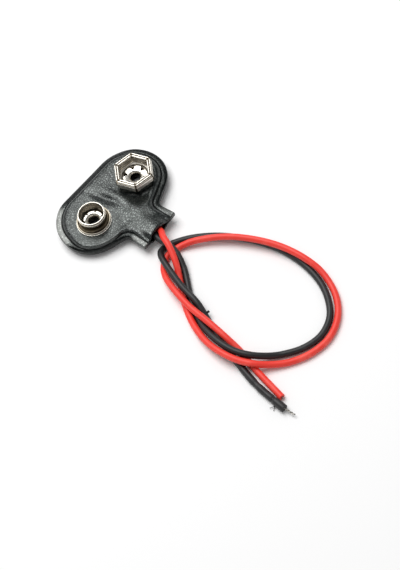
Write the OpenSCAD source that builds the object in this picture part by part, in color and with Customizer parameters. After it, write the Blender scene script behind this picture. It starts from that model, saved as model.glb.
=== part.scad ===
// Snap connector for a nine volt battery: a stud and a six-sided socket riveted to a board,
// welded between two soft vinyl sheets, with a red and a black lead tied in a loose knot.
// Millimetres. The origin is midway between the snaps, on the surface that the back lies on.

/* [Snaps] */
// Distance between the two snap axes
snap_pitch = 12.7; // [12.4:0.1:13.2]
// Height of both snaps above the cover
snap_h = 3; // [2.6:0.1:3.6]
// Thickness of the drawn metal
metal_t = 0.3; // [0.2:0.05:0.35]

/* [Stud] */
// Largest diameter of the stud, at its bead
stud_d = 5.72; // [5.5:0.02:6]
// How far the stud's neck draws in from the bead
neck_draw = 0.21; // [0.1:0.01:0.3]
// Height of the straight land on the bead
land_h = 0.5; // [0.3:0.1:0.8]
// Diameter of the stud's folded flange
flange_d = 7.2; // [6.8:0.1:8]
// Height of the folded flange
flange_h = 0.7; // [0.6:0.05:0.9]

/* [Socket] */
// Width of the socket's mouth, flat to flat
socket_af = 5.8; // [5.7:0.05:6.1]
// Gap between the socket's wall and its folded skirt
skirt_gap = 0.23; // [0.15:0.01:0.4]
// Height of the folded skirt
skirt_h = 1.9; // [1.4:0.1:2.2]
// How far each wall bows out below the mouth
wall_bow = 0.12; // [0:0.02:0.2]
// Turn of the socket's corners
socket_turn = 48; // [0:1:60]

/* [Rivets] */
// Outside diameter of the hollow rivet
rivet_d = 3; // [2.6:0.1:3.2]
// Wall of the hollow rivet
rivet_wall = 0.4; // [0.3:0.05:0.5]
// Diameter of the rivet's head under the board
head_d = 4.4; // [4:0.1:5]
// Thickness of the rivet's head
head_t = 0.2; // [0.15:0.05:0.3]
// Petals that the rivet's end splits into
petals = 6; // [4:1:8]
// Angle of the gap between two petals
petal_gap = 20; // [10:1:30]

/* [Cover] */
// Length of the cover
cover_l = 26.8; // [25.6:0.1:29]
// Distance from the snaps' line to the straight back edge
back_y = 9; // [8.4:0.1:10]
// Distance from the snaps' line to the centres of the end curves
end_y = 0.9; // [0:0.1:1.5]
// Radius of the end curves towards the leads
front_r = 7; // [6.6:0.1:7.6]
// Slope of the shoulders that run down to the tail
shoulder_a = 22; // [12:1:30]
// Width of the tail
tail_w = 9.4; // [9:0.1:11]
// Distance from the snaps' line to the tail's end
tail_y = 11.7; // [11:0.1:14]
// Radius of the hollow corner beside the tail
nook_r = 1.2; // [0.6:0.1:1.6]
// Width of the welded rim
rim_w = 1.2; // [0.9:0.1:1.4]
// Thickness of one vinyl sheet
sheet_t = 0.5; // [0.4:0.05:0.6]
// Rise of the top sheet above the rim
crown = 0.6; // [0.4:0.05:0.7]
// Depth of the crease that the weld leaves inside the rim
crease = 0.12; // [0:0.02:0.2]
// Share of the bottom sheet's depth that is left at the tail's end
mouth_share = 0.55; // [0.55:0.05:1]

/* [Board] */
// Thickness of the board
board_t = 0.8; // [0.6:0.1:1]
// Length of the board
board_l = 20.4; // [19.6:0.1:20.8]
// Width of the board
board_w = 9.4; // [8.8:0.1:9.6]

/* [Leads] */
// Diameter of a lead over its insulation
lead_d = 1.3; // [1.1:0.05:1.3]
// Diameter of a lead's copper core
core_d = 0.4; // [0.3:0.05:0.6]
// Length of the bare core on the black lead
black_bare = 2.2; // [1:0.1:4]
// Length of the bare core on the red lead
red_bare = 0.4; // [0.2:0.1:4]
// Width of a solder joint
solder_d = 3.2; // [2.6:0.1:3.8]

/* [Hidden] */

// Fineness of round solids, and steps of the curves drawn here
$fn = 64;
arc_steps = 6;
corner_steps = 9;
nook_steps = 4;
lead_sides = 8;

// Room round a lead inside the cover, and round a rivet in its holes
lead_clear = 0.05;
rivet_clear = 0.05;
// A cut's overrun past the face that it opens
past = 1;

// Heights, from the back up
cavity_z = sheet_t;
lead_z = cavity_z + lead_clear + lead_d / 2;
board_z = cavity_z + lead_d + 2 * lead_clear;
ceiling_z = board_z + board_t;
seat_z = ceiling_z + sheet_t;
rim_top = seat_z - crown;
rim_mid = rim_top - sheet_t;
rim_bot = rim_mid - sheet_t;
mouth_z = rim_mid - mouth_share * (rim_mid - cavity_z) + lead_clear + lead_d / 2;

// Plan of the cover: end curves, shoulders and the hollow corners beside the tail
back_r = back_y - end_y;
back_c = [cover_l / 2 - back_r, end_y];
front_c = [cover_l / 2 - front_r, end_y];
shoulder_n = [sin(shoulder_a), -cos(shoulder_a)];
shoulder_at = shoulder_n * front_c + front_r;
nook_x = tail_w / 2 + nook_r;
nook_c = [nook_x, (shoulder_at + nook_r - shoulder_n.x * nook_x) / shoulder_n.y];

// Rounding of the rim's edge, run of the weld's crease and width of the weld
rim_round = 0.15;
crease_run = 0.25;
weld_w = rim_w + 0.4;
// Runs from the weld to the flat of each sheet, outside and inside
top_run = 1.8;
top_run_in = 0.9;
back_run = 2;
back_run_in = 1.5;
// Shape of that swell, in shares of its run and of its rise
swell = [[0.16, 0.25], [0.33, 0.65], [0.62, 0.93], [1, 1]];

// Snap places and profile radii
stud_x = -snap_pitch / 2;
socket_x = snap_pitch / 2;
bead_r = stud_d / 2;
stud_neck_r = bead_r - neck_draw;
lip_drop = 0.4;
land_top = snap_h - lip_drop;
land_bot = land_top - land_h;
bead_rise = 0.6;
flange_round = 0.15;
hole_r = rivet_d / 2 + rivet_clear;
corner = 1 / cos(30);
skirt_out = socket_af / 2 + 2 * metal_t + skirt_gap;
fold_h = 0.3;

// Rivet, from its head under the board to the petals on the snap's floor
rivet_r = rivet_d / 2;
bore_r = rivet_r - rivet_wall;
head_z = board_z - head_t;
floor_z = seat_z + metal_t;
stud_petal_r = rivet_r + 0.5;
socket_petal_r = rivet_r + 1;
petal_h = 0.55;
petal_t = 0.25;
gap_start = 0.1;
gap_z = 0.1;

// Routes of the leads, from inside the cover to their ends
red_route = [
    [4.7, -2.4, lead_z], [1.4, -7.2, lead_z], [0.2, -11.9, mouth_z], [-0.2, -12.7, 2.65], [-1, -13.8, 3.3],
    [-1.8, -15.9, 3.5], [-2.6, -17.5, 3], [-3.7, -19.3, 2.3], [-5.25, -21.25, 1], [-7, -23.3, 0.7],
    [-9.3, -26.2, 0.65],
    [-11.7, -30.6, 0.85], [-13.1, -35, 1.5], [-13.3, -39, 2.05], [-12.8, -42, 2.1], [-11.6, -45, 2.05],
    [-9.8, -47.1, 1.2], [-7, -49.7, 0.65], [-3, -51.9, 0.65], [1.5, -52.6, 0.65], [5.5, -51.4, 0.65],
    [8.8, -48.7, 0.65], [10.8, -45.4, 0.7], [11.7, -42.2, 1.3], [11.7, -39.2, 1.95], [11.2, -34, 2],
    [9.4, -28.4, 2], [6.8, -23.5, 1.85], [4.1, -20.1, 1.5], [1.8, -18, 1.25], [-0.6, -16.5, 0.65],
    [-2.9, -16.1, 0.65], [-5, -16.9, 0.65], [-7, -19.3, 1.35], [-8.4, -23, 2], [-9.4, -27.4, 2.1],
    [-9.9, -33, 2.15], [-10.3, -37.5, 1.7], [-10.6, -40.9, 0.75], [-11.6, -44.6, 0.65], [-13.3, -52.9, 0.65]];
black_route = [
    [-4.7, -2.4, lead_z], [-1.4, -7.2, lead_z], [-1.25, -11.7, mouth_z], [-1.5, -12.8, 2],
    [-1.4, -14.6, 2.05],
    [-1.55, -17, 2], [-2.3, -19, 1.65], [-3.55, -21.2, 0.9], [-5, -23, 0.65], [-7.3, -25.8, 0.65],
    [-10.5, -31.2, 0.85], [-11.5, -34.4, 1.7], [-11.9, -37.3, 2.1], [-11.7, -40.2, 2.1], [-10.8, -42.9, 2.05],
    [-9, -45.4, 1.4], [-6.8, -47.4, 0.65], [-3, -50.1, 0.65], [1, -51.1, 0.65], [4.8, -50.1, 0.65],
    [7.8, -47.4, 0.65], [9.7, -44.3, 0.65], [10.9, -40.2, 0.65], [11.2, -34.6, 0.65], [9.2, -26.6, 0.65],
    [5.6, -20.2, 0.65], [2, -16.5, 0.65], [-0.7, -14.8, 0.65], [-1.8, -14.4, 0.7], [-2.9, -14.55, 1.15],
    [-3.8, -15.2, 1.65], [-4.4, -16.2, 1.98], [-5.5, -19, 2.15], [-7, -23.6, 2.2], [-8, -28.6, 1.95],
    [-9, -31.4, 0.75], [-10.05, -33.9, 0.65], [-12.5, -41.2, 0.65], [-14.2, -48, 0.65],
    [-14.85, -54.7, 0.65]];

// Points on an arc about c, from angle a to angle b
function spot(c, r, a) = c + r * [cos(a), sin(a)];
function arc(c, r, a, b, steps) = [for (i = [0 : steps]) spot(c, r, a + (b - a) * i / steps)];
function tail_of(list) = [for (i = [1 : len(list) - 1]) list[i]];
function unit(v) = v / norm(v);
function last(list) = list[len(list) - 1];

// Right half of the cover's edge, drawn in by d, from its back to the tail's end
function half_edge(d) = concat(
    arc(back_c, back_r - d, 90, 0, corner_steps),
    tail_of(arc(front_c, front_r - d, 0, shoulder_a - 90, corner_steps)),
    arc(nook_c, nook_r + d, 90 + shoulder_a, 180, nook_steps),
    [[tail_w / 2 - d, -tail_y]]);

// Whole edge, clockwise from the tail's left corner to its right one
function edge(d) = let (right = half_edge(d), n = len(right))
    concat([for (i = [n - 1 : -1 : 0]) [-right[i].x, right[i].y]], right);

// Sections of a sheet as [draw-in, height above the weld], from the rim to the flat
function skin(rise, run) = concat(
    [[0, 0], [0, sheet_t - rim_round], [rim_round, sheet_t], [rim_w - crease_run, sheet_t],
     [rim_w, sheet_t - crease]],
    [for (s = swell) [rim_w + run * s[0], sheet_t + rise * s[1]]]);
function lining(rise, run) = concat(
    [[weld_w, 0]],
    [for (s = swell) [weld_w + run * s[0], rise * s[1]]]);

// One sheet standing on the weld: its skin, its lining, and an open mouth at the tail's end.
// At the mouth the swell is drawn down to a share of its rise.
module sheet(rise, run, rise_in, run_in, share) {
    levels = concat(skin(rise, run), lining(rise_in, run_in));
    ends = concat(skin(rise * share, run), lining(rise_in * share, run_in));
    rings = [for (i = [0 : len(levels) - 1]) let (ring = edge(levels[i][0]), end = len(ring) - 1)
        [for (j = [0 : end]) [ring[j].x, ring[j].y, (j == 0 || j == end ? ends : levels)[i][1]]]];
    n = len(rings[0]);
    low = len(skin(rise, run));
    flat = low - 1;
    rim = flat - len(swell);
    roof = len(levels) - 1;
    far = n - 1;
    outer = [for (i = [0 : flat - 1], j = [0 : far - 1]) let (a = i * n + j, b = a + n)
        each [[a, a + 1, b + 1], [a, b + 1, b]]];
    inner = [for (i = [low : roof - 1], j = [0 : far - 1]) let (a = i * n + j, b = a + n)
        each [[a, b + 1, a + 1], [a, b, b + 1]]];
    weld = [for (j = [0 : far - 1]) let (a = j, b = low * n + j)
        each [[a, b, b + 1], [a, b + 1, a + 1]]];
    caps = [for (j = [0 : n / 2 - 2]) let (a = flat * n, b = roof * n)
        each [[a + j, a + j + 1, a + far - j - 1, a + far - j],
              [b + j, b + far - j, b + far - j - 1, b + j + 1]]];
    lips = [for (i = [0 : flat - 1]) let (k = low + max(i - rim, 0))
        each concat([[k, i, i + 1]], i < rim ? [] : [[k, i + 1, k + 1]])];
    mouth = concat([for (t = lips) t * n], [for (t = lips) [t[0] * n + far, t[2] * n + far, t[1] * n + far]],
        [[roof * n, flat * n, flat * n + far, roof * n + far]]);
    polyhedron([for (r = rings) each r], concat(outer, inner, weld, caps, mouth), convexity = 8);
}

// Tube along a route's own points, with a ring at each
module tube(route, d) {
    n = len(route);
    way = [for (i = [0 : n - 1]) let (a = route[max(i - 1, 0)], b = route[i], c = route[min(i + 1, n - 1)])
        unit((i > 0 ? unit(b - a) : [0, 0, 0]) + (i < n - 1 ? unit(c - b) : [0, 0, 0]))];
    rings = [for (i = [0 : n - 1]) let (across = unit(cross(way[i], [0, 0, 1])), up = cross(across, way[i]))
        [for (k = [0 : lead_sides - 1]) let (a = (k + 0.5) * 360 / lead_sides)
            route[i] + d / 2 * (cos(a) * across + sin(a) * up)]];
    side = [for (i = [0 : n - 2], k = [0 : lead_sides - 1])
        let (l = (k + 1) % lead_sides, a = i * lead_sides, b = a + lead_sides)
        each [[a + k, a + l, b + l], [a + k, b + l, b + k]]];
    caps = [[for (k = [lead_sides - 1 : -1 : 0]) k],
            [for (k = [0 : lead_sides - 1]) (n - 1) * lead_sides + k]];
    polyhedron([for (r = rings) each r], concat(side, caps), convexity = 10);
}

// Round bar from one point to another
module bar(from, to, d) {
    v = to - from;
    translate(from) rotate([0, acos(v.z / norm(v)), atan2(v.y, v.x)]) cylinder(d = d, h = norm(v));
}

// Holes for both rivets
module rivet_holes(z, h) {
    for (x = [stud_x, socket_x]) translate([x, 0, z]) cylinder(r = hole_r, h = h);
}

// Hollow rivet: flat head, tube and an end that is split and rolled out over the snap's floor
module rivet(x, petal_r) {
    roll_z = floor_z + petal_h - petal_t;
    gap_w = petal_r * tan(petal_gap / 2);
    translate([x, 0, 0]) difference() {
        rotate_extrude() polygon(concat(
            [[bore_r, head_z], [head_d / 2, head_z], [head_d / 2, board_z], [rivet_r, board_z],
             [rivet_r, roll_z], [petal_r - petal_t, roll_z], [petal_r - petal_t, floor_z],
             [petal_r, floor_z]],
            arc([petal_r - petal_t, roll_z], petal_t, 0, 90, arc_steps),
            arc([bore_r + petal_t, roll_z], petal_t, 90, 180, arc_steps)));
        for (i = [0 : petals - 1]) rotate((i + 0.5) * 360 / petals)
            translate([bore_r - gap_start, 0, floor_z + gap_z]) linear_extrude(petal_h + past)
                polygon([[0, 0], [petal_r, gap_w], [petal_r, -gap_w]]);
    }
}

// Bead of solder under a rivet's head, run round the lead's bare core
module solder(x, route) {
    bead_h = head_z - cavity_z - 2 * lead_clear;
    difference() {
        translate([x, 0, head_z]) rotate_extrude() polygon(concat([[0, 0]],
            [for (a = [0 : 15 : 90]) [solder_d / 2 * cos(a), -bead_h * sin(a)]]));
        core_root(x, route);
    }
}

// Bare core between the end of the insulation and the solder
module core_root(x, route) {
    bar(route[0], [x, 0, lead_z], core_d);
}

// Bare core past the end of the insulation
module core_tip(route, bare) {
    end = last(route);
    bar(end, end + bare * unit(end - route[len(route) - 2]), core_d);
}

module top_cover() {
    color("#2d3032") difference() {
        translate([0, 0, rim_mid]) sheet(crown, top_run, ceiling_z - rim_mid, top_run_in, 1);
        rivet_holes(ceiling_z - past, sheet_t + 2 * past);
    }
}

module bottom_cover() {
    color("#27292b") translate([0, 0, rim_mid]) mirror([0, 0, 1])
        sheet(rim_bot, back_run, rim_mid - cavity_z, back_run_in, mouth_share);
}

module contact_board() {
    color("#8a5a36") difference() {
        translate([0, end_y, board_z]) linear_extrude(board_t) union() {
            square([board_l - board_w, board_w], center = true);
            for (s = [-1, 1]) translate([s * (board_l - board_w) / 2, 0]) circle(d = board_w);
        }
        rivet_holes(board_z - past, board_t + 2 * past);
    }
}

// Snap stud: floor, folded flange, neck, bead and open lip, drawn from one sheet
module stud_contact() {
    neck_in = stud_neck_r - metal_t;
    color("#d8d5cc") translate([stud_x, 0, seat_z]) rotate_extrude() polygon(concat(
        [[hole_r, 0]],
        arc([flange_d / 2 - flange_h / 2, flange_h / 2], flange_h / 2, -90, 90, arc_steps),
        arc([stud_neck_r + flange_round, flange_h + flange_round], flange_round, 270, 180, arc_steps),
        [[stud_neck_r, land_bot - bead_rise], [bead_r, land_bot], [bead_r, land_top]],
        arc([bead_r - metal_t / 2 - flange_round, land_top + lip_drop / 2], lip_drop / 2, 60, 120, arc_steps),
        [[bead_r - metal_t - flange_round, land_top], [bead_r - metal_t, land_top - lip_drop / 2],
         [bead_r - metal_t, land_bot], [neck_in, land_bot - bead_rise]],
        arc([neck_in - flange_round, metal_t + flange_round], flange_round, 0, -90, arc_steps),
        [[hole_r, metal_t]]));
}

// Snap socket: six bowed walls that fold over at the mouth into an outer skirt
module socket_contact() {
    wall = socket_af / 2;
    fold_z = snap_h - fold_h;
    bow_z = fold_z / 3;
    fold_c = (wall + skirt_out) / 2;
    fold_r = (skirt_out - wall) / 2;
    gap_r = fold_r - metal_t;
    gap_h = fold_h - metal_t * 0.6;
    section = concat(
        [[wall, 0], [wall + metal_t, 0], [wall + metal_t + wall_bow, bow_z], [wall + metal_t, fold_z]],
        [for (a = [150 : -60 : 30]) [fold_c + gap_r * cos(a), fold_z + gap_h * sin(a)]],
        [[skirt_out - metal_t, fold_z], [skirt_out - metal_t, snap_h - skirt_h],
         [skirt_out, snap_h - skirt_h]],
        [for (a = [0 : 30 : 180]) [fold_c + fold_r * cos(a), fold_z + fold_h * sin(a)]],
        [[wall + wall_bow, bow_z]]);
    color("#d8d5cc") translate([socket_x, 0, seat_z]) rotate(socket_turn) difference() {
        union() {
            rotate_extrude($fn = 6) polygon([for (p = section) [p.x * corner, p.y]]);
            cylinder(r = (wall + metal_t / 2) * corner, h = metal_t, $fn = 6);
        }
        translate([0, 0, -past]) cylinder(r = hole_r, h = metal_t + 2 * past);
    }
}

module stud_rivet() {
    color("#cfcabf") rivet(stud_x, stud_petal_r);
}

module socket_rivet() {
    color("#cfcabf") rivet(socket_x, socket_petal_r);
}

module stud_solder() {
    color("#a9abad") solder(stud_x, black_route);
}

module socket_solder() {
    color("#a9abad") solder(socket_x, red_route);
}

module red_lead() {
    color("#ee4236") tube(red_route, lead_d);
}

module black_lead() {
    color("#2b2b2d") tube(black_route, lead_d);
}

module red_core_root() {
    color("#b9bbbd") core_root(socket_x, red_route);
}

module black_core_root() {
    color("#b9bbbd") core_root(stud_x, black_route);
}

module red_core_tip() {
    color("#b9bbbd") core_tip(red_route, red_bare);
}

module black_core_tip() {
    color("#b9bbbd") core_tip(black_route, black_bare);
}

top_cover();
bottom_cover();
contact_board();
stud_contact();
socket_contact();
stud_rivet();
socket_rivet();
stud_solder();
socket_solder();
red_lead();
black_lead();
red_core_root();
black_core_root();
red_core_tip();
black_core_tip();
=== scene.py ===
"""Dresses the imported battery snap: grained vinyl sheets, drawn nickel snaps, split rivets, knotted leads.

Everything is in metres in the CAD part's own frame: the origin is midway between the snaps on the surface
that the back lies on, the stud is towards -X, the socket towards +X, and the tail and its leads run to -Y.
"""

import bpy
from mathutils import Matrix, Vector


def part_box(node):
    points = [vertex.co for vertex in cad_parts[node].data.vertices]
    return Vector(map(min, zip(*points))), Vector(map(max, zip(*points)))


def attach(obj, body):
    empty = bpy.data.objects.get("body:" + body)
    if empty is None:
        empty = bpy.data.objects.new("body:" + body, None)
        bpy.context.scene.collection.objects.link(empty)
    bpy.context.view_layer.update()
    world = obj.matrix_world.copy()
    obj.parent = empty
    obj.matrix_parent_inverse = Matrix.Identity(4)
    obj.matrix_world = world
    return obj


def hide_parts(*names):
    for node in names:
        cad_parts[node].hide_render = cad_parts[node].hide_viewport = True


bl_info = {
    "name": "Battery Snap",
    "version": (1, 0, 0),
    "blender": (4, 5, 0),
    "location": "View3D > Sidebar > Battery Snap",
    "description": "Builds the cover, the drawn snaps and the knotted leads of a nine volt battery snap",
    "category": "Object",
}

import bmesh
import bpy
import numpy as np
from bpy.props import FloatProperty, FloatVectorProperty, IntProperty, PointerProperty
from mathutils import Matrix

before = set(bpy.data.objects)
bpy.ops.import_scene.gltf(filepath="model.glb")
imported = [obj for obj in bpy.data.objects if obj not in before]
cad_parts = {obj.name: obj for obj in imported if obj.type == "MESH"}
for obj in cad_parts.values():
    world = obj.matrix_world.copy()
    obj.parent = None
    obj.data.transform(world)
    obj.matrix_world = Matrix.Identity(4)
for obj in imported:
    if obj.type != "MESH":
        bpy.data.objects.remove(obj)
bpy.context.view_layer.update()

MM = 0.001
BODY = "root"
BLACK = (0.0, 0.0, 0.0, 1.0)
WHITE = (1.0, 1.0, 1.0, 1.0)
PVC_IOR = 1.53

# Points this close are merged, and edges this short are dropped
MERGE = 1e-6
SLIVER = 1e-7

# Share of its radius that a carried section closes to at its end
CLOSED = 0.01

# Places that the CAD part gives: the sheets, the two snaps and what the snaps stand on
TOP_LOW, TOP_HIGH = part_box("top_cover")
STUD_LOW, STUD_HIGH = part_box("stud_contact")
SOCKET_LOW, SOCKET_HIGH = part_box("socket_contact")
STUD_X = (STUD_LOW.x + STUD_HIGH.x) / 2
SOCKET_X = (SOCKET_LOW.x + SOCKET_HIGH.x) / 2
SEAT_Z = STUD_LOW.z
WELD_Z = TOP_LOW.z

# Share of the bottom sheet's depth that is left at the mouth, where the tail starts, and a rivet's hole
MOUTH_SHARE = 0.55
TAIL_Y = -8.1 * MM
HOLE_R = 1.55 * MM

# The leads' routes, point for point as the CAD part has them
RED_ROUTE = [
    (0.0047, -0.0024, 0.0012), (0.0014, -0.0072, 0.0012), (0.0002, -0.0119, 0.00192),
    (-0.0002, -0.0127, 0.00265), (-0.001, -0.0138, 0.0033), (-0.0018, -0.0159, 0.0035),
    (-0.0026, -0.0175, 0.003), (-0.0037, -0.0193, 0.0023), (-0.00525, -0.02125, 0.001),
    (-0.007, -0.0233, 0.0007), (-0.0093, -0.0262, 0.00065), (-0.0117, -0.0306, 0.00085),
    (-0.0131, -0.035, 0.0015), (-0.0133, -0.039, 0.00205), (-0.0128, -0.042, 0.0021),
    (-0.0116, -0.045, 0.00205), (-0.0098, -0.0471, 0.0012), (-0.007, -0.0497, 0.00065),
    (-0.003, -0.0519, 0.00065), (0.0015, -0.0526, 0.00065), (0.0055, -0.0514, 0.00065),
    (0.0088, -0.0487, 0.00065), (0.0108, -0.0454, 0.0007), (0.0117, -0.0422, 0.0013),
    (0.0117, -0.0392, 0.00195), (0.0112, -0.034, 0.002), (0.0094, -0.0284, 0.002),
    (0.0068, -0.0235, 0.00185), (0.0041, -0.0201, 0.0015), (0.0018, -0.018, 0.00125),
    (-0.0006, -0.0165, 0.00065), (-0.0029, -0.0161, 0.00065), (-0.005, -0.0169, 0.00065),
    (-0.007, -0.0193, 0.00135), (-0.0084, -0.023, 0.002), (-0.0094, -0.0274, 0.0021),
    (-0.0099, -0.033, 0.00215), (-0.0103, -0.0375, 0.0017), (-0.0106, -0.0409, 0.00075),
    (-0.0116, -0.0446, 0.00065), (-0.0133, -0.0529, 0.00065)]
BLACK_ROUTE = [
    (-0.0047, -0.0024, 0.0012), (-0.0014, -0.0072, 0.0012), (-0.00125, -0.0117, 0.00192),
    (-0.0015, -0.0128, 0.002), (-0.0014, -0.0146, 0.00205), (-0.00155, -0.017, 0.002),
    (-0.0023, -0.019, 0.00165), (-0.00355, -0.0212, 0.0009), (-0.005, -0.023, 0.00065),
    (-0.0073, -0.0258, 0.00065), (-0.0105, -0.0312, 0.00085), (-0.0115, -0.0344, 0.0017),
    (-0.0119, -0.0373, 0.0021), (-0.0117, -0.0402, 0.0021), (-0.0108, -0.0429, 0.00205),
    (-0.009, -0.0454, 0.0014), (-0.0068, -0.0474, 0.00065), (-0.003, -0.0501, 0.00065),
    (0.001, -0.0511, 0.00065), (0.0048, -0.0501, 0.00065), (0.0078, -0.0474, 0.00065),
    (0.0097, -0.0443, 0.00065), (0.0109, -0.0402, 0.00065), (0.0112, -0.0346, 0.00065),
    (0.0092, -0.0266, 0.00065), (0.0056, -0.0202, 0.00065), (0.002, -0.0165, 0.00065),
    (-0.0007, -0.0148, 0.00065), (-0.0018, -0.0144, 0.0007), (-0.0029, -0.01455, 0.00115),
    (-0.0038, -0.0152, 0.00165), (-0.0044, -0.0162, 0.00198), (-0.0055, -0.019, 0.00215),
    (-0.007, -0.0236, 0.0022), (-0.008, -0.0286, 0.00195), (-0.009, -0.0314, 0.00075),
    (-0.01005, -0.0339, 0.00065), (-0.0125, -0.0412, 0.00065), (-0.0142, -0.048, 0.00065),
    (-0.01485, -0.0547, 0.00065)]

# The photograph's camera, fitted to the snaps' spacing
CAMERA_EYE = (-0.07228, -0.12082, 0.20088)
CAMERA_RIGHT = (0.6376, -0.7569, -0.1431)
CAMERA_UP = (0.7122, 0.5084, 0.4840)
CAMERA_BACK = (-0.2936, -0.4105, 0.8633)
CAMERA_LENS = 75.79
CAMERA_SENSOR = 36


def linear(code):
    """Linear colour of an sRGB hex value: the straight toe below 0.04045 and the 2.4 power above it."""
    srgb = np.array([int(code[i:i + 2], 16) for i in (1, 3, 5)]) / 255
    rgb = np.where(srgb <= 0.04045, srgb / 12.92, ((srgb + 0.055) / 1.055) ** 2.4)
    return (*map(float, rgb), 1.0)


def add(tree, kind, inputs=None, stops=None, **fields):
    """Adds a node, sets its fields and ramp stops, and links or sets each named input."""
    made = tree.nodes.new("ShaderNode" + kind)
    for field, value in fields.items():
        setattr(made, field, value)
    for i, (place, colour) in enumerate(stops or []):
        stop = made.color_ramp.elements[i] if i < 2 else made.color_ramp.elements.new(place)
        stop.position = place
        stop.color = colour
    for name, value in (inputs or {}).items():
        if isinstance(value, bpy.types.NodeSocket):
            tree.links.new(value, made.inputs[name])
        else:
            made.inputs[name].default_value = value
    return made


def blank(name):
    """New material with an empty tree."""
    material = bpy.data.materials.new(name)
    material.use_nodes = True
    material.node_tree.nodes.clear()
    return material, material.node_tree


def unit(v):
    """Vectors along the last axis, each made one long."""
    return v / np.linalg.norm(v, axis=-1, keepdims=True)


def step(a, b, x):
    """Smooth step from 0 at a to 1 at b: 3t^2 - 2t^3."""
    t = np.clip((x - a) / (b - a), 0, 1)
    return t * t * (3 - 2 * t)


def smooth_line(points, count, fine=40):
    """Cubic through all the points, walked at even steps.

    Each span is a Hermite cubic, and the slope at a point weighs the two chords beside it by length.
    """
    p = np.asarray(points, float)
    chord = np.diff(p, axis=0)
    h = np.linalg.norm(chord, axis=1)[:, None]
    slope = chord / h
    inner = (slope[:-1] * h[1:] + slope[1:] * h[:-1]) / (h[:-1] + h[1:])
    m = np.vstack([slope[:1], inner, slope[-1:]])
    t = np.linspace(0, 1, fine, endpoint=False)[None, :, None]
    start, end = p[:-1, None], p[1:, None]
    lead_in, lead_out = (m[:-1] * h)[:, None], (m[1:] * h)[:, None]
    spans = ((2 * t**3 - 3 * t**2 + 1) * start + (t**3 - 2 * t**2 + t) * lead_in
             + (3 * t**2 - 2 * t**3) * end + (t**3 - t**2) * lead_out)
    curve = np.vstack([spans.reshape(-1, p.shape[1]), p[-1:]])
    return even_line(curve, count)


def even_line(curve, count):
    """The same line in that many even steps."""
    run = np.concatenate([[0], np.cumsum(np.linalg.norm(np.diff(curve, axis=0), axis=1))])
    even = np.linspace(0, run[-1], count)
    return np.stack([np.interp(even, run, curve[:, k]) for k in range(curve.shape[1])], axis=1)


def line_length(line):
    """Sum of the lengths of a line's steps."""
    return float(np.linalg.norm(np.diff(line, axis=0), axis=1).sum())


def carried(line, radius, sides, first=(), final=()):
    """Round section carried along a line: centre + radius * (cos a * across + sin a * up).

    Each extra ring of the first and the final end is [offset along the line, share of the radius].
    """
    way = unit(np.gradient(line, axis=0))
    count = len(line)
    at = np.concatenate([np.zeros(len(first), int), np.arange(count), np.full(len(final), count - 1)])
    offset = np.concatenate([[o for o, s in first], np.zeros(count), [o for o, s in final]])
    share = np.concatenate([[s for o, s in first], np.ones(count), [s for o, s in final]])
    across = unit(np.cross(way, (0.0, 0.0, 1.0)))[at]
    up = np.cross(across, way[at])
    a = np.linspace(0, 2 * np.pi, sides, endpoint=False)
    ring = across[:, None] * np.cos(a)[:, None] + up[:, None] * np.sin(a)[:, None]
    centre = line[at] + offset[:, None] * way[at]
    return centre[:, None] + ring * (share * np.broadcast_to(radius, count)[at])[:, None, None]


def patch(points, ring=False, loop=False, flip=False, uv=None, mark=None):
    """A grid of points, rows by columns, with its columns closed (ring) or its rows closed (loop).

    Its mark is the light painted at each point: on the snaps painted shade and painted reflections, on the
    vinyl a painted highlight (above 0) or painted shade that also dulls it (below 0).
    """
    return {"points": points, "ring": ring, "loop": loop, "flip": flip, "uv": uv, "mark": mark}


def piece(name, patches, material):
    """Joins grids of points into one smooth mesh at the origin, with a UV map and a point attribute of
    painted light and shade.
    """
    points, faces, corners, marks = [], [], [], []
    base = 0
    for p in patches:
        grid = p["points"]
        rows, columns = grid.shape[:2]
        index = base + np.arange(rows * columns).reshape(rows, columns)
        base += rows * columns
        if p["ring"]:
            index = np.concatenate([index, index[:, :1]], axis=1)
        if p["loop"]:
            index = np.concatenate([index, index[:1]], axis=0)
        uv = p["uv"]
        if uv is None:
            row_at, column_at = (np.linspace(0, 1, count) for count in index.shape)
            v, u = np.meshgrid(row_at, column_at, indexing="ij")
            uv = np.stack([u, v], axis=-1)
        order = [0, 3, 2, 1] if p["flip"] else [0, 1, 2, 3]
        quad = np.stack([index[:-1, :-1], index[:-1, 1:], index[1:, 1:], index[1:, :-1]], axis=-1)
        corner = np.stack([uv[:-1, :-1], uv[:-1, 1:], uv[1:, 1:], uv[1:, :-1]], axis=-2)
        points.append(grid.reshape(-1, 3))
        faces.append(quad.reshape(-1, 4)[:, order])
        corners.append(corner.reshape(-1, 4, 2)[:, order].reshape(-1, 2))
        marks.append(np.broadcast_to(0.0 if p["mark"] is None else p["mark"], (rows, columns)).ravel())
    mesh = bpy.data.meshes.new(name)
    mesh.from_pydata(np.vstack(points).tolist(), [], np.vstack(faces).tolist())
    mesh.uv_layers.new(name="UVMap").data.foreach_set("uv", np.vstack(corners).astype(np.float32).ravel())
    # Point attribute of painted light: shade, reflections and highlights painted into the colour
    painted_light = mesh.attributes.new("painted_light", "FLOAT", "POINT")
    painted_light.data.foreach_set("value", np.concatenate(marks).astype(np.float32))
    work = bmesh.new()
    work.from_mesh(mesh)
    bmesh.ops.remove_doubles(work, verts=work.verts, dist=MERGE)
    bmesh.ops.dissolve_degenerate(work, edges=work.edges, dist=SLIVER)
    bmesh.ops.recalc_face_normals(work, faces=work.faces)
    work.to_mesh(mesh)
    work.free()
    mesh.polygons.foreach_set("use_smooth", np.ones(len(mesh.polygons), bool))
    mesh.materials.append(material)
    mesh.update()
    made = bpy.data.objects.new(name, mesh)
    bpy.context.scene.collection.objects.link(made)
    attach(made, BODY)
    return made


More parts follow.
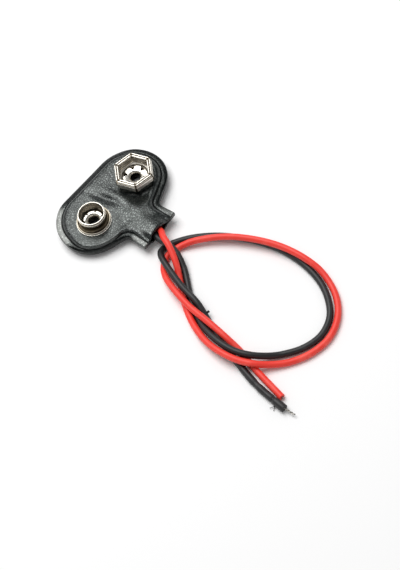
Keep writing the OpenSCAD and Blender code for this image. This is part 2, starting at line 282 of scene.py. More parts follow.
class CoverSettings(bpy.types.PropertyGroup):
    """Soft vinyl sheets that enclose the snaps' board."""
    length: FloatProperty(name="Length", description="Length of the cover", default=TOP_HIGH.x - TOP_LOW.x,
                          unit="LENGTH")
    back: FloatProperty(name="Back", description="Distance from the snaps' line to the straight back edge",
                        default=TOP_HIGH.y, unit="LENGTH")
    tail: FloatProperty(name="Tail", description="Distance from the snaps' line to the tail's end",
                        default=-TOP_LOW.y, unit="LENGTH")
    tail_width: FloatProperty(name="Tail width", description="Width of the tail", default=0.0094,
                              unit="LENGTH")
    rim: FloatProperty(name="Rim", description="Width of the welded rim", default=0.0012, unit="LENGTH")
    sheet: FloatProperty(name="Sheet", description="Thickness of one sheet", default=0.0005, unit="LENGTH")
    colour: FloatVectorProperty(name="Vinyl", description="Colour of the vinyl", subtype="COLOR", size=4,
                                default=linear("#171c1c"))
    # This worn colour is the pale grey of a painted highlight on the rim
    worn: FloatVectorProperty(name="Worn vinyl", description="Colour of the vinyl where it is rubbed",
                              subtype="COLOR", size=4, default=linear("#b2b4b0"))


class SnapSettings(bpy.types.PropertyGroup):
    """Drawn and plated stud and socket, and the rivets that hold them."""
    corner: FloatProperty(name="Corner", description="Radius of the socket's outer corners",
                          default=0.00025, unit="LENGTH")
    turn: FloatProperty(name="Turn", description="Turn of the socket's corners", default=np.radians(48.0),
                        subtype="ANGLE")
    petals: IntProperty(name="Petals", description="Petals that a rivet's end splits into", default=6,
                        min=3)
    colour: FloatVectorProperty(name="Nickel", description="Colour of the plate", subtype="COLOR", size=4,
                                default=linear("#e6e2d9"))
    # Brown of the painted shade deep in the cups
    painted_light: FloatVectorProperty(name="Tarnish", description="Colour of the plate deep in the cups",
                                 subtype="COLOR", size=4, default=linear("#7f7460"))


class LeadSettings(bpy.types.PropertyGroup):
    """Red and black leads, from the solder to their bare tips."""
    diameter: FloatProperty(name="Diameter", description="Diameter over the insulation", default=0.0013,
                            unit="LENGTH")
    strand: FloatProperty(name="Strand", description="Diameter of one wire of the core", default=0.00013,
                          unit="LENGTH")
    red: FloatVectorProperty(name="Red", description="Colour of the red insulation", subtype="COLOR",
                             size=4, default=linear("#f23a2d"))
    black: FloatVectorProperty(name="Black", description="Colour of the black insulation", subtype="COLOR",
                               size=4, default=linear("#101012"))


class StageSettings(bpy.types.PropertyGroup):
    """Floor, lamp and sky."""
    floor: FloatVectorProperty(name="Floor", description="Colour of the floor", subtype="COLOR", size=4,
                               default=linear("#fcfcfc"))
    key: FloatProperty(name="Key", description="Power of the lamp", default=2.1, unit="POWER")
    sky: FloatProperty(name="Sky", description="Strength of the even light from all round", default=0.38)


class SnapPart(bpy.types.PropertyGroup):
    """All of the part's settings."""
    cover: PointerProperty(type=CoverSettings)
    snaps: PointerProperty(type=SnapSettings)
    leads: PointerProperty(type=LeadSettings)
    stage: PointerProperty(type=StageSettings)


def vinyl_leatherette(cover):
    """Soft PVC sheet, calendered and embossed with a fine leather grain: dull black, grey-green sheen.

    Cells of the grain are about 0.45 mm across, bent by a slow drift, and finer pores about 0.22 mm.
    Its pits are duller than its tops, and a point attribute paints light on it: pale for a painted
    highlight, dark and less glossy for painted shade.
    """
    material, tree = blank("embossed_vinyl")
    place = add(tree, "TexCoord").outputs["Object"]
    drift = add(tree, "TexNoise", {"Vector": place, "Scale": 0.7 / MM, "Detail": 2.0})
    bent = add(tree, "MixRGB", {"Fac": 0.6 * MM, "Color1": place, "Color2": drift.outputs["Color"]},
               blend_type="ADD")
    cells = add(tree, "TexVoronoi", {"Vector": bent.outputs["Color"], "Scale": 1 / (0.45 * MM)},
                feature="DISTANCE_TO_EDGE")
    pores = add(tree, "TexNoise", {"Vector": place, "Scale": 1 / (0.22 * MM), "Detail": 4.0})
    grain = add(tree, "ValToRGB", {"Fac": cells.outputs["Distance"]}, [(0.0, BLACK), (0.32, WHITE)])
    relief = add(tree, "MixRGB", {"Fac": 0.4, "Color1": grain.outputs["Color"],
                                  "Color2": pores.outputs["Fac"]})
    bump = add(tree, "Bump", {"Height": relief.outputs["Color"], "Strength": 0.5, "Distance": 0.05 * MM})
    cloud = add(tree, "TexNoise", {"Vector": place, "Scale": 1 / (4 * MM), "Detail": 3.0})
    # Painted light: above 0 a pale painted highlight, below 0 dark painted shade with less gloss
    light_marks = add(tree, "Attribute", attribute_name="painted_light")
    painted_tone = add(tree, "Math", {0: light_marks.outputs["Fac"], 1: 0.5, 2: 0.5}, operation="MULTIPLY_ADD")
    # Near black for painted shade, the vinyl's own colour, then pale grey for a painted highlight
    base = add(tree, "ValToRGB", {"Fac": painted_tone.outputs["Value"]},
               [(0.0, linear("#0b0c0d")), (0.5, cover.colour), (1.0, cover.worn)])
    dark = add(tree, "MixRGB", {"Fac": 0.5, "Color1": base.outputs["Color"],
                                "Color2": grain.outputs["Color"]}, blend_type="MULTIPLY")
    rough = add(tree, "MapRange", {"Value": cloud.outputs["Fac"], "To Min": 0.2, "To Max": 0.3})
    gloss = add(tree, "MapRange", {"Value": light_marks.outputs["Fac"], "From Min": -1.0, "From Max": 0.0,
                                   "To Min": 0.05, "To Max": 1.0})
    pits = add(tree, "MapRange", {"Value": relief.outputs["Color"], "From Min": 0.15, "From Max": 0.75,
                                  "To Min": 0.2})
    sheen = add(tree, "Math", {0: gloss.outputs["Result"], 1: pits.outputs["Result"]}, operation="MULTIPLY")
    shader = add(tree, "BsdfPrincipled", {
        "Base Color": dark.outputs["Color"], "Roughness": rough.outputs["Result"], "IOR": PVC_IOR,
        "Specular IOR Level": sheen.outputs["Value"], "Specular Tint": linear("#f8fffb"),
        "Normal": bump.outputs["Normal"]})
    add(tree, "OutputMaterial", {"Surface": shader.outputs["BSDF"]})
    return material


def nickel_plate(snaps):
    """Bright nickel on drawn brass: white metal with fine drawing lines, and warm, dull painted shade deep
    in the cups.

    A point attribute paints shade and reflections on it, from bright through brown to black, and a little
    of it is roughest.
    """
    material, tree = blank("nickel_plate")
    place = add(tree, "TexCoord").outputs["Object"]
    stretch = add(tree, "Mapping", {"Vector": place, "Scale": (1.0, 1.0, 9.0)})
    lines = add(tree, "TexNoise", {"Vector": stretch.outputs["Vector"], "Scale": 1 / (0.5 * MM),
                                   "Detail": 5.0})
    bump = add(tree, "Bump", {"Height": lines.outputs["Fac"], "Strength": 0.03, "Distance": 0.02 * MM})
    deep = add(tree, "Attribute", attribute_name="painted_light")
    stain = add(tree, "TexNoise", {"Vector": place, "Scale": 1 / (1.4 * MM), "Detail": 3.0})
    # Ramp of painted shade and painted reflections: the plate's colour, brown, then near black
    base = add(tree, "ValToRGB", {"Fac": deep.outputs["Fac"]},
               [(0.0, snaps.colour), (0.5, snaps.painted_light), (1.0, linear("#17130e"))])
    rough = add(tree, "MapRange", {"Value": stain.outputs["Fac"], "To Min": 0.2, "To Max": 0.3})
    dull = add(tree, "ValToRGB", {"Fac": deep.outputs["Fac"]},
               [(0.0, BLACK), (0.15, (0.25, 0.25, 0.25, 1.0)), (0.5, BLACK)])
    worn = add(tree, "Math", {0: rough.outputs["Result"], 1: dull.outputs["Color"]}, operation="ADD")
    shader = add(tree, "BsdfPrincipled", {
        "Base Color": base.outputs["Color"], "Metallic": 1.0, "Roughness": worn.outputs["Value"],
        "Normal": bump.outputs["Normal"]})
    add(tree, "OutputMaterial", {"Surface": shader.outputs["BSDF"]})
    return material


def snap_plate(snaps):
    """The one plate of both snaps and their rivets, made when it is first asked for."""
    return bpy.data.materials.get("nickel_plate") or nickel_plate(snaps)


def soft_pvc(name, colour, scuffed):
    """Extruded PVC insulation: smooth and satin, with faint die lines along it and pale scuffs."""
    material, tree = blank(name)
    along = add(tree, "TexCoord")
    lines = add(tree, "Mapping", {"Vector": along.outputs["UV"], "Scale": (26.0, 0.35, 1.0)})
    die = add(tree, "TexNoise", {"Vector": lines.outputs["Vector"], "Scale": 1.0, "Detail": 3.0})
    cloud = add(tree, "TexNoise", {"Vector": along.outputs["Object"], "Scale": 1 / (2.5 * MM),
                                   "Detail": 4.0})
    spots = add(tree, "ValToRGB", {"Fac": cloud.outputs["Fac"]}, [(0.52, BLACK), (0.78, WHITE)])
    base = add(tree, "MixRGB", {"Fac": spots.outputs["Color"], "Color1": colour, "Color2": scuffed})
    bump = add(tree, "Bump", {"Height": die.outputs["Fac"], "Strength": 0.12, "Distance": 0.05 * MM})
    rough = add(tree, "MapRange", {"Value": cloud.outputs["Fac"], "To Min": 0.42, "To Max": 0.55})
    shader = add(tree, "BsdfPrincipled", {
        "Base Color": base.outputs["Color"], "Roughness": rough.outputs["Result"], "IOR": PVC_IOR,
        "Normal": bump.outputs["Normal"]})
    add(tree, "OutputMaterial", {"Surface": shader.outputs["BSDF"]})
    return material


def tinned_copper():
    """Tinned copper wire: grey-white metal, dulled by handling."""
    material, tree = blank("tinned_copper")
    place = add(tree, "TexCoord").outputs["Object"]
    stain = add(tree, "TexNoise", {"Vector": place, "Scale": 1 / (0.4 * MM), "Detail": 3.0})
    base = add(tree, "MixRGB", {"Fac": stain.outputs["Fac"], "Color1": linear("#c9c7c1"),
                                "Color2": linear("#8f8b83")})
    rough = add(tree, "MapRange", {"Value": stain.outputs["Fac"], "To Min": 0.25, "To Max": 0.45})
    shader = add(tree, "BsdfPrincipled", {"Base Color": base.outputs["Color"], "Metallic": 1.0,
                                          "Roughness": rough.outputs["Result"]})
    add(tree, "OutputMaterial", {"Surface": shader.outputs["BSDF"]})
    return material


def tin_solder():
    """Tin solder, frozen with a slightly wrinkled satin skin."""
    material, tree = blank("tin_solder")
    place = add(tree, "TexCoord").outputs["Object"]
    skin = add(tree, "TexNoise", {"Vector": place, "Scale": 1 / (0.7 * MM), "Detail": 4.0})
    base = add(tree, "MixRGB", {"Fac": skin.outputs["Fac"], "Color1": linear("#b5b6b8"),
                                "Color2": linear("#8e9092")})
    bump = add(tree, "Bump", {"Height": skin.outputs["Fac"], "Strength": 0.3, "Distance": 0.1 * MM})
    shader = add(tree, "BsdfPrincipled", {"Base Color": base.outputs["Color"], "Metallic": 1.0,
                                          "Roughness": 0.38, "Normal": bump.outputs["Normal"]})
    add(tree, "OutputMaterial", {"Surface": shader.outputs["BSDF"]})
    return material


def phenolic_paper():
    """Pressed phenolic paper board: brown, with paper fibres 0.3 mm across showing through the resin."""
    material, tree = blank("phenolic_paper")
    place = add(tree, "TexCoord").outputs["Object"]
    fibre = add(tree, "Mapping", {"Vector": place, "Scale": (0.3, 1.0, 1.0)})
    paper = add(tree, "TexNoise", {"Vector": fibre.outputs["Vector"], "Scale": 1 / (0.3 * MM),
                                   "Detail": 5.0})
    base = add(tree, "MixRGB", {"Fac": paper.outputs["Fac"], "Color1": linear("#7a4a2a"),
                                "Color2": linear("#96643c")})
    bump = add(tree, "Bump", {"Height": paper.outputs["Fac"], "Strength": 0.2, "Distance": 0.03 * MM})
    shader = add(tree, "BsdfPrincipled", {"Base Color": base.outputs["Color"], "Roughness": 0.5,
                                          "Normal": bump.outputs["Normal"]})
    add(tree, "OutputMaterial", {"Surface": shader.outputs["BSDF"]})
    return material


def lead_line(route):
    """A route's smooth line in steps of a quarter millimetre, eased a little."""
    line = smooth_line(route, int(line_length(np.array(route)) / (0.25 * MM)))
    for _ in range(10):
        line[1:-1] = line[:-2] / 4 + line[1:-1] / 2 + line[2:] / 4
    return line


def lead_sleeve(name, line, radius, material, burrs=(), sides=28):
    """Insulation carried along its line: a cut end that turns in round the core, and torn burrs."""
    line[:, 2] = np.maximum(line[:, 2], radius)
    cut = [(0.05 * MM, 0.985), (0.09 * MM, 0.93), (0.1 * MM, 0.8), (0.08 * MM, 0.4), (-0.4 * MM, 0.36),
           (-0.4 * MM, CLOSED)]
    start = [(0.1 * MM, CLOSED), (-0.05 * MM, 0.9)]
    points = carried(line, radius, sides, start, cut)
    far = np.linspace(0, line_length(line) / MM, len(points))
    v, u = np.meshgrid(far, np.linspace(0, 1, sides + 1), indexing="ij")
    shut = [(0, CLOSED)]
    torn = [carried(np.linspace(a, b, 8) * MM, np.linspace(*thick, 8) * MM, 8, shut, shut)
            for a, b, thick in burrs]
    return piece(name, [patch(points, ring=True, uv=np.stack([u, v], axis=-1))]
                 + [patch(burr, ring=True) for burr in torn], material)


def strands(name, start, way, length, wire, material, count=7):
    """Twisted core: wires on a helix about the lead's axis, one turn in 1.8 mm, cut a little unevenly."""
    pitch = 1.8 * MM
    along = np.linspace(0, 1, 40)
    way = unit(np.array(way, float))
    across = unit(np.cross(way, (0.0, 0.0, 1.0)))
    up = np.cross(across, way)
    tip = [(wire / 4, 0.7), (wire / 3, CLOSED)]
    made = []
    for k in range(count):
        ring = 0.0 if k == 0 else wire * 1.02
        turn = 2 * np.pi * (k / max(count - 1, 1) + along * length / pitch)
        reach = length * (1 - 0.06 * (k % 3))
        line = (np.array(start) + along[:, None] * reach * way
                + (ring * np.cos(turn))[:, None] * across + (ring * np.sin(turn))[:, None] * up)
        line[:, 2] = np.maximum(line[:, 2], wire / 2)
        made.append(patch(carried(line, wire / 2, 8, [(0, CLOSED)], tip), ring=True))
    return piece(name, made, material)


class SNAP_OT_leads(bpy.types.Operator):
    """Builds the red and the black lead and their bare tips"""
    bl_idname = "battery_snap.leads"
    bl_label = "Leads"

    def execute(self, context):
        leads = context.scene.battery_snap.leads
        half = leads.diameter / 2
        wire = tinned_copper()
        tuck = 0.3 * MM

        # The red lead is even, but for a slow wave and a little flare at its cut end
        line = lead_line(RED_ROUTE)
        left = line_length(line) * (1 - np.linspace(0, 1, len(line)))
        radius = half * (1 + 0.008 * np.sin(left / (3.1 * MM)) + 0.02 * np.exp(-left / (0.4 * MM)))
        red_pvc = soft_pvc("red_pvc", leads.red, linear("#fa584a"))
        red = lead_sleeve("red_insulation", line, radius, red_pvc)
        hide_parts("red_lead")
        way = unit(line[-1] - line[-3])
        red_core = strands("red_strands", line[-1] - way * tuck, way, 0.7 * MM, leads.strand, wire)
        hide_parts("red_core_tip")

        # The black lead is pulled and swollen near its end, with a waist, a nick and a thick last stretch
        line = lead_line(BLACK_ROUTE)
        left = line_length(line) * (1 - np.linspace(0, 1, len(line)))
        pulled = step(13 * MM, 9 * MM, left)
        radius = half * (1 + 0.08 * pulled + 0.03 * pulled * np.sin(left / (0.42 * MM))
                         - 0.08 * np.exp(-((left - 7 * MM) / (0.7 * MM)) ** 2)
                         - 0.14 * np.exp(-((left - 2.7 * MM) / (0.2 * MM)) ** 2)
                         + 0.12 * step(2.6 * MM, 2.1 * MM, left))
        # Torn burrs, in millimetres: from, to, and the radius at both ends
        burrs = [((-14.9, -52.8, 0.6), (-15.6, -52.95, 0.4), (0.25, 0.12)),
                 ((-15.5, -52.9, 0.42), (-16.2, -52.3, 0.2), (0.07, 0.04)),
                 ((-15.5, -52.95, 0.42), (-16.2, -53.25, 0.2), (0.07, 0.04)),
                 ((-8.5, -30.75, 1.15), (-7.75, -31.05, 1.4), (0.14, 0.26))]
        black_pvc = soft_pvc("black_pvc", leads.black, linear("#2c2c2e"))
        black = lead_sleeve("black_insulation", line, radius, black_pvc, burrs)
        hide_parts("black_lead")
        way = unit(line[-1] - line[-3])
        black_core = strands("black_strands", line[-1] - way * tuck, (0.08, -1, -0.04), 2.6 * MM,
                             leads.strand, wire, count=4)
        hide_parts("black_core_tip")
        return {"FINISHED"}


def half_edge(cover):
    """Right half of the cover's edge, from the middle of its back to the tail's end, and its normals.

    A straight back, a quarter circle, a front curve, a sloped shoulder, a hollow corner, the tail's side.
    The keys count the points up to the end of each.
    """
    end_y, front_r, nook_r = 0.9 * MM, 7 * MM, 1.2 * MM
    slope = np.radians(22)
    back_r = cover.back - end_y
    back_c = np.array([cover.length / 2 - back_r, end_y])
    front_c = np.array([cover.length / 2 - front_r, end_y])
    down = np.array([np.sin(slope), -np.cos(slope)])
    nook_x = cover.tail_width / 2 + nook_r
    nook_c = np.array([nook_x, (down @ front_c + front_r + nook_r - down[0] * nook_x) / down[1]])
    back_a = np.linspace(np.pi / 2, 0, 40)
    front_a = np.linspace(0, slope - np.pi / 2, 34)[1:]
    nook_a = np.linspace(np.pi / 2 + slope, np.pi, 18)
    back_n = np.stack([np.cos(back_a), np.sin(back_a)], axis=1)
    front_n = np.stack([np.cos(front_a), np.sin(front_a)], axis=1)
    nook_n = -np.stack([np.cos(nook_a), np.sin(nook_a)], axis=1)
    straight = np.linspace(0, 1, 14, endpoint=False)[:, None]
    flat = np.array([0, cover.back]) + straight * np.array([back_c[0], 0])
    front = front_c + front_r * front_n
    nook = nook_c - nook_r * nook_n
    slant = front[-1] + np.linspace(0, 1, 12)[1:-1, None] * (nook[0] - front[-1])
    side = nook[-1] + np.linspace(0, 1, 16)[1:, None] * (np.array([nook[-1][0], -cover.tail]) - nook[-1])
    points = np.vstack([flat, back_c + back_r * back_n, front, slant, nook, side])
    normals = np.vstack([np.tile([0.0, 1.0], (len(flat), 1)), back_n, front_n,
                         np.tile(down, (len(slant), 1)), nook_n, np.tile([1.0, 0.0], (len(side), 1))])
    keys = np.cumsum([len(flat), len(back_n), len(front), len(slant), len(nook), len(side)])
    return points, normals, keys


def half_spine(cover, keys, hole):
    """Ends of the lines across the right half: the snaps' line, the rivet's hole and the tail's middle."""
    reach = SOCKET_X - hole
    back_bar = np.stack([np.linspace(0, reach, keys[0], endpoint=False), np.zeros(keys[0])], axis=1)
    mid = keys[2] + (keys[3] - keys[2]) // 2
    around = np.pi - np.linspace(0, 2 * np.pi, mid - keys[0])
    circle = np.stack([SOCKET_X + hole * np.cos(around), hole * np.sin(around)], axis=1)
    turn = keys[3] + (keys[4] - keys[3]) // 2
    front_bar = np.stack([np.linspace(reach, 0, turn - mid + 1)[1:], np.zeros(turn - mid)], axis=1)
    stem = np.stack([np.zeros(keys[5] - turn), np.linspace(0, -cover.tail, keys[5] - turn + 1)[1:]], axis=1)
    return np.vstack([back_bar, circle, front_bar, stem]), (keys[0], mid)


def both_halves(right):
    """A right half and its mirror image as one line, from the tail's left corner to its right one."""
    return np.vstack([(right * [-1, 1])[:0:-1], right])


def front_lobe(x, y):
    """One along the edge below the stud, nought elsewhere."""
    return step(3 * MM, -4 * MM, y) * step(-3.6 * MM, -8 * MM, x)


def rim_droop(x, y):
    """How far the rim's outer edge leaves its plane.

    It sags all round, most below the stud, it waves a little, and the tail's corners curl up.
    """
    tail = step(-8.5 * MM, -11.7 * MM, y)
    curl = tail * (0.6 * step(2 * MM, 4.7 * MM, x) + 0.14 * step(-2 * MM, -4.7 * MM, x))
    wave = np.sin(x / (3.1 * MM) + 0.6) * np.cos(y / (3.7 * MM))
    back = step(5.5 * MM, 8.5 * MM, y) * step(-8.5 * MM, -5 * MM, x)
    return (curl + 0.05 * wave - 0.26 - 0.35 * front_lobe(x, y) - 0.3 * back) * MM


def rim_light_marks(x, y):
    """Light painted on the rim: a pale painted highlight at the stud's end and on the tail's sides, and
    dark, dull painted shade elsewhere.
    """
    bearing = np.degrees(np.arctan2(y, x - STUD_X))
    end = step(88, 108, bearing) * step(184, 160, bearing)
    # The tail's left side, which faces the light, gets more painted highlight than its right side
    tail = step(-7.6 * MM, -9 * MM, y)
    return end + tail * np.where(x < 0, 0.7, 0.2) - 0.6 * (1 - end) * (1 - tail)


def top_relief(x, y):
    """Soft relief of the top sheet, as a sum of turned bell curves.

    A groove and a ridge run between the snaps, a hollow crosses below the stud, the tail rises over its
    leads, and short folds run in from the hollow corners. Nothing rises under the snaps, and no dent is
    so deep that the sheet meets the board.
    """
    deepest = 0.44
    # Each bump in millimetres: its centre, its half widths, its turn in degrees and its rise
    bumps = [(-0.9, 1.8, 0.8, 3.2, 12, -0.44), (0.5, 0, 1.3, 4.4, 8, 0.24),
             (-3.2, -5.3, 2.4, 0.7, -6, -0.16), (-0.3, -10.4, 1.6, 3.4, 0, 0.36),
             (-3.6, -7.2, 0.6, 1.8, -30, -0.16), (-8.6, 4.6, 2.8, 1.5, 42, 0.05),
             (2.2, 5.6, 3.4, 1.6, -8, 0.05), (3.5, -3.8, 2.4, 1.3, -42, -0.4),
             (0.4, -5.0, 1.8, 1.6, 20, 0.2)]
    total = np.zeros_like(x)
    for cx, cy, wide, deep, turn, rise in bumps:
        a = np.radians(turn)
        p = ((x / MM - cx) * np.cos(a) + (y / MM - cy) * np.sin(a)) / wide
        q = ((y / MM - cy) * np.cos(a) - (x / MM - cx) * np.sin(a)) / deep
        total += rise * np.exp(-p**2 - q**2)
    for axis in (STUD_X, SOCKET_X):
        away = np.hypot(x - axis, y)
        ring = np.exp(-((away - 4.6 * MM) / (0.9 * MM)) ** 2)
        pucker = 0.02 * np.cos(7 * np.arctan2(y, x - axis) + 1.3) * ring
        total = (total + pucker) * step(3.2 * MM, 4.3 * MM, away)
    return np.maximum(total, -deepest) * MM


def tail_wave(x):
    """How the tail's cut end wanders along its length, in and out."""
    across = [-4.7, -3.2, -1.4, 0.2, 1.6, 4.7]
    return np.interp(x / MM, across, [-0.35, -0.3, 0.0, 0.16, -0.04, -0.15]) * MM


def sheet_patches(cover, rise, run, rise_in, run_in, hole, side):
    """One sheet on the weld, above it (side 1) or below it (side -1): skin, lining, and their joins.

    A point of the edge is drawn in along its normal by the section's width and raised by its height.
    Past the section it goes straight to the spine.
    """
    points, normals, keys = half_edge(cover)
    spine, bore = half_spine(cover, keys, hole)
    edge, outward, spine = both_halves(points), both_halves(normals), both_halves(spine)
    t, rim, weld = cover.sheet, cover.rim, cover.rim + 0.4 * MM
    swell = [(0.16, 0.25), (0.33, 0.65), (0.62, 0.93), (1, 1)]
    raised = [(rim + run * s, t + rise * h) for s, h in swell]
    skin = smooth_line([(0, 0), (0, t - 0.13 * MM), (0.04 * MM, t - 0.04 * MM), (0.13 * MM, t),
                        (rim - 0.22 * MM, t), (rim - 0.09 * MM, t - 0.05 * MM), (rim, t - 0.16 * MM),
                        (rim + 0.09 * MM, t - 0.03 * MM), *raised], 64)
    lining = smooth_line([(weld, 0)] + [(weld + run_in * s, rise_in * h) for s, h in swell], 64)
    across = np.linspace(0, 1, 30)[1:, None, None]
    # Below the stud the section is narrow, and left of the tail its rise past the rim is short and steep
    share = 1 - 0.68 * front_lobe(edge[:, 0], edge[:, 1])[None, :, None]
    steep = 0.6 * (step(0, -3 * MM, edge[:, 0]) * step(-4 * MM, -6 * MM, edge[:, 1]))[None, :, None]

    def layer(section, thick):
        """Grid of one face of the sheet: its section carried round the edge, then lines to the spine."""
        drawn = section[:, :1, None] * share - np.maximum(section[:, :1, None] - rim, 0) * share * steep
        flank = edge[None] - drawn * outward[None]
        flat = np.concatenate([flank, flank[-1] + across * (spine[None] - flank[-1])])
        inward, height = (np.pad(section[:, k], (0, len(across)), "edge")[:, None] for k in (0, 1))
        x, y = flat[..., 0], flat[..., 1]
        beside = step(1.0 * MM, 2.6 * MM, x) + step(-2.0 * MM, -3.2 * MM, x)
        pinch = step(TAIL_Y, -cover.tail, y) * beside
        kept = 1 - 0.85 * pinch
        if side < 0:
            kept = np.interp(y, [-cover.tail, TAIL_Y], [MOUTH_SHARE, 1]) * kept
        height = np.minimum(height, thick) + np.maximum(height - thick, 0) * kept
        z = WELD_Z + side * height + rim_droop(x, y) * (1 - step(0, 1.6 * rim, inward))
        if side > 0 and thick:
            z = z + top_relief(x, y) * step(rim, rim + run, inward)
        y = y + tail_wave(x) * step(-9.5 * MM, -11.7 * MM, y)
        return np.stack([x, y, np.broadcast_to(z, x.shape)], axis=-1)

    outer = layer(skin, t)
    inner = layer(lining, 0.0)
    # Painted light: a pale painted highlight on the rim's face, and dark, dull painted shade in the crease
    # beside it and in a ring round the socket
    x, y = outer[..., 0], outer[..., 1]
    inward = np.pad(skin[:, 0], (0, len(across)), "edge")[:, None]
    highlit = step(0, 0.15 * MM, inward) * step(rim, rim - 0.15 * MM, inward)
    crease_shade = step(rim - 0.1 * MM, rim, inward) * step(rim + 0.3 * MM, rim + 0.1 * MM, inward)
    painted_tone = rim_light_marks(x, y)
    socket_shade = 0.35 * (side > 0) * step(5 * MM, 3.7 * MM, np.hypot(x - SOCKET_X, y))
    nook = step(-2 * MM, -4 * MM, x) * step(-4 * MM, -6 * MM, y)
    dull = 0.8 * crease_shade * (1 - 0.8 * nook) + socket_shade
    mark = highlit * np.maximum(painted_tone, 0) + (inward < rim) * np.minimum(painted_tone, 0) - dull
    # The lining is painted dark and dull all over: painted shade inside the cover
    patches = [patch(outer, mark=mark), patch(inner, flip=True, mark=-1.0),
               patch(np.stack([outer[0], inner[0]]), flip=True),
               patch(np.stack([outer[:, 0], inner[:, 0]], axis=1)),
               patch(np.stack([outer[:, -1], inner[:, -1]], axis=1), flip=True)]
    if hole:
        last = len(points) - 1
        right = slice(last + bore[0], last + bore[1])
        left = slice(last - bore[1] + 1, last - bore[0] + 1)
        patches += [patch(np.stack([outer[-1, s], inner[-1, s]])) for s in (right, left)]
    return patches


class SNAP_OT_cover(bpy.types.Operator):
    """Builds the two vinyl sheets, welded at the rim and open at the tail's end"""
    bl_idname = "battery_snap.cover"
    bl_label = "Cover"

    def execute(self, context):
        cover = context.scene.battery_snap.cover
        vinyl = vinyl_leatherette(cover)
        crown = SEAT_Z - WELD_Z - cover.sheet
        belly = WELD_Z - cover.sheet
        top = sheet_patches(cover, rise=crown, run=1.5 * MM, rise_in=crown, run_in=0.9 * MM,
                            hole=HOLE_R, side=1)
        bottom = sheet_patches(cover, rise=belly, run=2 * MM, rise_in=belly, run_in=1.5 * MM,
                               hole=0.0, side=-1)
        sheets = (("top_sheet", "top_cover", top), ("bottom_sheet", "bottom_cover", bottom))
        for name, node, parts in sheets:
            made = piece(name, parts, vinyl)
            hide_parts(node)
        return {"FINISHED"}


def turned(profile, centre_x, mark, sides=120):
    """Closed profile of [radius, height] points turned about a snap's axis."""
    a = np.linspace(0, 2 * np.pi, sides, endpoint=False)
    r = profile[:, :1]
    z = np.broadcast_to(profile[:, 1:], (len(profile), sides))
    points = np.stack([centre_x + r * np.cos(a), r * np.sin(a), z], axis=-1)
    return patch(points, ring=True, loop=True, mark=mark)


class SNAP_OT_stud(bpy.types.Operator):
    """Builds the round stud: floor, folded flange, neck, bead and open lip"""
    bl_idname = "battery_snap.stud"
    bl_label = "Stud"

    def execute(self, context):
        nickel = snap_plate(context.scene.battery_snap.snaps)
        # Radius and height in millimetres: floor, lower disc, groove, upper disc, neck, bead, groove, lip
        outside = smooth_line(np.array([
            (1.55, 0), (2.6, 0), (3.3, 0), (3.5, 0.01), (3.58, 0.06), (3.6, 0.14), (3.6, 0.24), (3.57, 0.3),
            (3.5, 0.31), (3.41, 0.31), (3.35, 0.34), (3.35, 0.43), (3.42, 0.49), (3.45, 0.57), (3.44, 0.65),
            (3.39, 0.69), (3.3, 0.69), (3.2, 0.69), (3.1, 0.62), (2.95, 0.58), (2.8, 0.64), (2.7, 0.78),
            (2.64, 1), (2.62, 1.3), (2.64, 1.6), (2.74, 1.9), (2.84, 2.1), (2.87, 2.25), (2.88, 2.45),
            (2.87, 2.57), (2.82, 2.6), (2.74, 2.6), (2.67, 2.61), (2.64, 2.66), (2.64, 2.75), (2.69, 2.84),
            (2.72, 2.92), (2.7, 2.98), (2.64, 3)]) * MM, 170)
        inside = smooth_line(np.array([
            (2.64, 3), (2.56, 2.99), (2.52, 2.92), (2.52, 2.84), (2.53, 2.6), (2.55, 2.3), (2.5, 2),
            (2.38, 1.7), (2.33, 1.3), (2.32, 0.8), (2.26, 0.5), (2.1, 0.35), (1.88, 0.3),
            (1.55, 0.3)]) * MM, 80)
        profile = np.vstack([outside, inside[1:]])
        # Painted reflections on the neck and on the flange inside its rim, painted shade in both grooves,
        # and brown painted shade inside the cup
        reach, tall = outside[:, 0] / MM, outside[:, 1] / MM
        foot = step(0.6, 0.8, tall)
        # Painted reflection: the neck dark as if it mirrored the dark vinyl
        neck = 0.85 * foot * step(2.05, 1.8, tall)
        lip_groove_shade = np.exp(-((tall - 2.69) / 0.08) ** 2) * (reach > 2.6)
        disc_groove_shade = step(3.52, 3.42, reach) * (tall > 0.29) * (tall < 0.47)
        # Painted reflection: the flange dark inside its bright rim
        flange = 0.75 * step(3.3, 3.24, reach) * (tall > 0.5) * (1 - foot)
        # Painted shade: brown inside the cup, below the lip
        brown = 0.32 * step(2.95 * MM, 2.5 * MM, inside[1:, 1])
        dark = np.clip(neck + (lip_groove_shade + disc_groove_shade + flange), 0, 1)
        deep = np.concatenate([dark, brown])[:, None]
        profile[:, 1] += SEAT_Z
        made = piece("stud_cup", [turned(profile, STUD_X, mark=deep)], nickel)
        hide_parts("stud_contact")
        return {"FINISHED"}


def rounded_hex(apothem, corner, local):
    """Distance to a rounded hexagon's edge at an angle from its corner: a side's line or a corner's arc."""
    c = (apothem - corner) / np.cos(np.pi / 6)
    limit = np.arctan2(corner / 2, c + corner * np.cos(np.pi / 6))
    side = apothem / np.cos(np.pi / 6 - np.abs(local))
    curve = c * np.cos(local) + np.sqrt(np.maximum(corner**2 - (c * np.sin(local)) ** 2, 0))
    return np.where(np.abs(local) < limit, curve, side)


